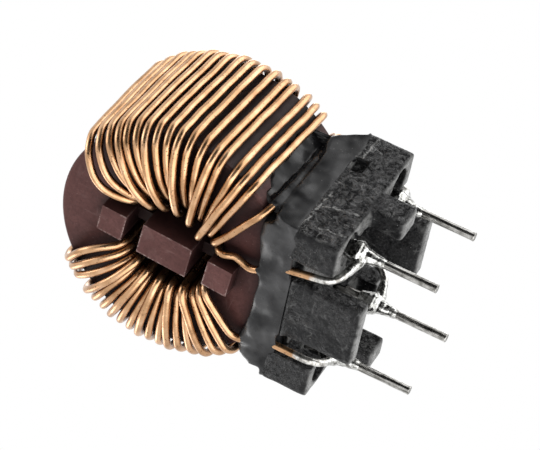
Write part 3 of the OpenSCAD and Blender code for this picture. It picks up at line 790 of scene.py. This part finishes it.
def overflow():
    """A film that has run a little way down over the header's upper edge."""
    outline = []
    for k, (sx, sy) in enumerate(((1, 1), (-1, 1), (-1, -1), (1, -1))):
        outline += [(sx * FILM_X, sy * FILM_Y, math.radians(90 * k + 18 * i)) for i in range(6)]
    fine = []
    for (x0, y0, a0), (x1, y1, a1) in zip(outline, outline[1:] + outline[:1]):
        far = math.hypot(x1 - x0, y1 - y0)
        n = max(1, int(far / 0.4))
        turn = 0 if far > 1 else a1 - a0  # the straight sides don't turn
        fine += [(x0 + (x1 - x0) * i / n, y0 + (y1 - y0) * i / n, a0 + turn * i / n) for i in range(n)]
    rings = [[], [], []]
    for x, y, a in fine:
        low = FILM_LOW + 0.8 * noise.noise(Vector((x, y, 3)) / 2.6)
        if x > 10 and 2.2 < y < 5.4:
            low = max(low, FILM_AT_WINDOW)
        heights = (low, min(low + 0.7, FILM_TOP - 0.05), FILM_TOP)
        for ring, r, z in zip(rings, (FILM_IN, FILM_OUT, FILM_OUT), heights):
            ring.append((x + r * math.cos(a), y + r * math.sin(a), z))
    return np.array(sum(rings, [])), lofted(3, len(fine))


# The lip along the right-hand wall: from front to back, its rounded front end, its foot and its height, and
# the slope down to the far corner
LIP_FRONT, LIP_BACK = -9.75, 9.2
ROUND_Y, ROUND_LENGTH = -8.1, 1.66
LIP_FOOT = 9.4
LIP_TOP = 12.45
SLOPE_Y = 6.3
SLOPE = 1.3


def bank():
    """The lip along the right-hand wall, with the hollow behind it half filled."""
    wall = HEADER_W / 2
    inside = wall - 3.2
    least = LIP_FOOT + 0.2
    # its profile, as the way in from the wall and the way down from the crest
    profile = ((0, 0.55), (0.03, 0.22), (0.18, 0.03), (0.5, 0), (1, 0.35), (1.6, 0.7), (2.4, 0.6))
    ys = np.linspace(LIP_FRONT, LIP_BACK, 48)
    verts = []
    for y in ys:
        crest = LIP_TOP + 0.9 * smooth_step(y, 2.5, 7.0) + 0.12 * noise.noise(Vector((y / 1.9, 4, 0)))
        crest -= SLOPE * max(0, y - SLOPE_Y)
        rounded = math.sqrt(max(0, 1 - (max(0, ROUND_Y - y) / ROUND_LENGTH) ** 2))
        crest = least + (crest - least) * rounded
        verts += [(wall - x, y, max(LIP_FOOT + 0.1, crest - drop * rounded)) for x, drop in profile]
        verts += [(inside, y, max(LIP_FOOT + 0.1, crest - 0.5)), (inside, y, LIP_FOOT), (wall, y, LIP_FOOT)]
    return np.array(verts), lofted(len(ys), len(profile) + 3)


beads = [on_rim(*drop) for drop in RIM_DROPS] + buried_turn() + collars() + [overflow(), bank()]
verts, faces, normals = melted([cad_shape("potting")] + beads, voxel=0.2, rounds=4)
# nothing stands over the slope at the far right corner, and the rest of the resin is left as it is
past = verts[:, 1] - SLOPE_Y
elsewhere = 40 * (1 - smooth_step(verts[:, 0], 6, 9))
limit = np.maximum(LIP_TOP + 0.75 - SLOPE * np.maximum(0, past) + elsewhere, HEADER_TOP)
verts[:, 2] = np.where(past > 0, np.minimum(verts[:, 2], limit), verts[:, 2])
# the skin is uneven, but flat where the resin lies on the header
free = smooth_step(verts[:, 2], HEADER_TOP - 0.6, HEADER_TOP + 1.2)
skin = free * waves(verts, (0.22, 3.2, 3), (0.10, 1.3, 7))
resin = new_piece("resin", verts + normals * skin[:, None], faces, RESIN)
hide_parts("potting")

# ---------- Header ----------

verts, faces, normals = melted([cad_shape("header")], voxel=0.18, rounds=9)
skin = waves(verts, (0.04, 2.2, 13), (0.03, 0.9, 17))
header = new_piece("header_body", verts + normals * skin[:, None], faces, HEADER)
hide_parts("header")

# ---------- Pins and solder ----------

TIP = -PIN_OUT
ROOT_R = 0.7
ROOT_Z = STANDOFF - 1.7

# A pin's r and z: the sheared end with its burr, the shank, and the thicker root up into the header
PIN_PROFILE = [
    (PIN_R - 0.20, TIP + 0.07),
    (PIN_R - 0.10, TIP + 0.05),
    (PIN_R - 0.025, TIP),
    (PIN_R + 0.025, TIP + 0.03),
    (PIN_R + 0.03, TIP + 0.12),
    (PIN_R + 0.005, TIP + 0.22),
    *((PIN_R, TIP + 0.4 * i) for i in range(1, 21)),
    (PIN_R, ROOT_Z - 0.1),
    (ROOT_R, ROOT_Z),
    (ROOT_R, HEADER_TOP - 0.5),
]

# The solder along a pin: height of a blob's middle, its radius and its half length
BLOBS = ((3.1, 1.3, 0.9), (2.3, 0.92, 1.2), (1.8, 0.76, 1.5), (1.3, 0.68, 1.8))

PLACES = ((1, -1, "front_right"), (-1, -1, "front_left"), (1, 1, "back_right"), (-1, 1, "back_left"))
for seed, (sx, sy, place) in enumerate(PLACES):
    x, y = sx * PIN_X, sy * PIN_Y
    verts, faces = turned(PIN_PROFILE, x, y, wobble=0.035, seed=11.3 * seed)
    pin = new_piece("pin_" + place + "_wire", verts, faces, PIN)
    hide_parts("pin_" + place)

    # beads on the wire's last 2 mm, and the blobs along the pin
    line = right_line if sx > 0 else left_line
    line = line[::-1] if sy < 0 else line
    beads = [ball(p, [0.72 - 0.13 * d] * 3, rings=6) for p, d in zip(line, run_length(line)) if d < 2]
    beads += [ball((x, y, z), (wide, wide, high)) for z, wide, high in BLOBS]
    verts, faces, normals = melted([cad_shape("solder_" + place)] + beads, voxel=0.1, rounds=4)
    skin = waves(verts, (0.06, 0.9, 3.1 * seed), (0.02, 0.35, 5.7 * seed))
    joint = new_piece("solder_" + place + "_joint", verts + normals * skin[:, None], faces, SOLDER)
    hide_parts("solder_" + place)

# ---------- Camera, light and floor ----------

# The camera as it was fitted to the photograph: its own axes, and its place
RIGHT = Vector((0.157975, 0.448823, -0.879546))
DOWN = Vector((-0.719694, -0.557530, -0.413765))
FORWARD = Vector((-0.676081, 0.698368, 0.234939))
EYE = Vector((247.505, -254.456, -69.888))

# The photograph's width and focal length, in pixels
PHOTO_WIDTH = 540
FOCAL_LENGTH = 3249.82

# From here on in metres: the middle of the object
MIDDLE = Vector((0, 0, 0.018))

cam_data = bpy.data.cameras.new("camera")
cam = linked("camera", cam_data)
bpy.context.scene.camera = cam
cam.matrix_world = Matrix.Translation(EYE * MM) @ Matrix((RIGHT, -DOWN, -FORWARD)).transposed().to_4x4()
cam_data.sensor_width = 36
cam_data.lens = FOCAL_LENGTH / PHOTO_WIDTH * cam_data.sensor_width
cam_data.clip_start = 0.01
cam_data.clip_end = 10


def turn_to_middle(obj, direction, distance):
    """Puts a lamp or a card in a direction from the object's middle, facing it."""
    away = Vector(direction).normalized()
    obj.location = MIDDLE + away * distance
    obj.rotation_euler = away.to_track_quat("Z", "Y").to_euler()


# name, direction, distance, width and power in watts
LAMPS = (
    ("key", (0.22, -0.70, -0.68), 0.50, 0.90, 3.6),
    ("side", (0.60, 0.68, -0.48), 0.50, 0.76, 2.3),
    ("top", (0.20, -0.15, 0.95), 0.55, 0.30, 0.7),
    ("left", (-0.84, -0.26, 0.48), 0.60, 0.30, 0.7),
    ("rear", (-0.25, 0.90, 0.35), 0.60, 0.35, 0.7),
)
for name, direction, distance, width, power in LAMPS:
    lamp = bpy.data.lights.new(name, "AREA")
    lamp.shape = "DISK"
    lamp.size = width
    lamp.energy = power
    turn_to_middle(linked(name, lamp), direction, distance)


def square(name, width, z, mat):
    """A flat square that faces up."""
    h = width / 2
    me = bpy.data.meshes.new(name)
    me.from_pydata([(-h, -h, z), (h, -h, z), (h, h, z), (-h, h, z)], [], [(0, 1, 2, 3)])
    me.materials.append(mat)
    return linked(name, me)


# A black card that only reflections see, as photographers set beside shiny metal
black = Finish("flag")
black.set(Base_Color=(0.01, 0.01, 0.01, 1), Specular_IOR_Level=0.0)
card = square("flag", 0.60, 0, black.mat)
turn_to_middle(card, (0.95, -0.32, 0.05), 0.40)
card.visible_camera = False
card.visible_diffuse = False
card.visible_shadow = False
card.visible_transmission = False

# The world is white to the camera and in reflections, and lights the object with half that strength
world = bpy.data.worlds.new("studio")
bpy.context.scene.world = world
g = Graph(world)
rays = g.node("ShaderNodeLightPath").outputs
seen = g.most(g.most(rays["Is Camera Ray"], rays["Is Glossy Ray"]), rays["Is Transmission Ray"])
soft = g.node("ShaderNodeBackground", {"Color": (1, 1, 1, 1), "Strength": 0.5}).outputs[0]
white = g.node("ShaderNodeBackground", {"Color": (1, 1, 1, 1), "Strength": 1.0}).outputs[0]
both = g.node("ShaderNodeMixShader", {0: seen, 1: soft, 2: white}).outputs[0]
g.node("ShaderNodeOutputWorld", {"Surface": both})

# The floor shows from above only, because the photograph looks from below, and the lamps under it, on the
# photograph's own side, shine through it. It isn't there for reflections either.
floor_mat = bpy.data.materials.new("floor")
g = Graph(floor_mat)
rays = g.node("ShaderNodeLightPath").outputs
below = g.node("ShaderNodeNewGeometry").outputs["Backfacing"]
absent = g.most(g.most(rays["Is Shadow Ray"], rays["Is Glossy Ray"]), below)
pale = g.node("ShaderNodeBsdfPrincipled", {"Base Color": (0.80, 0.80, 0.79, 1), "Roughness": 0.7}).outputs[0]
clear = g.node("ShaderNodeBsdfTransparent").outputs[0]
both = g.node("ShaderNodeMixShader", {0: absent, 1: pale, 2: clear}).outputs[0]
g.node("ShaderNodeOutputMaterial", {"Surface": both})
square("floor", 1.8, (TIP - 0.01) * MM, floor_mat)

bpy.context.scene.view_settings.view_transform = "Standard"
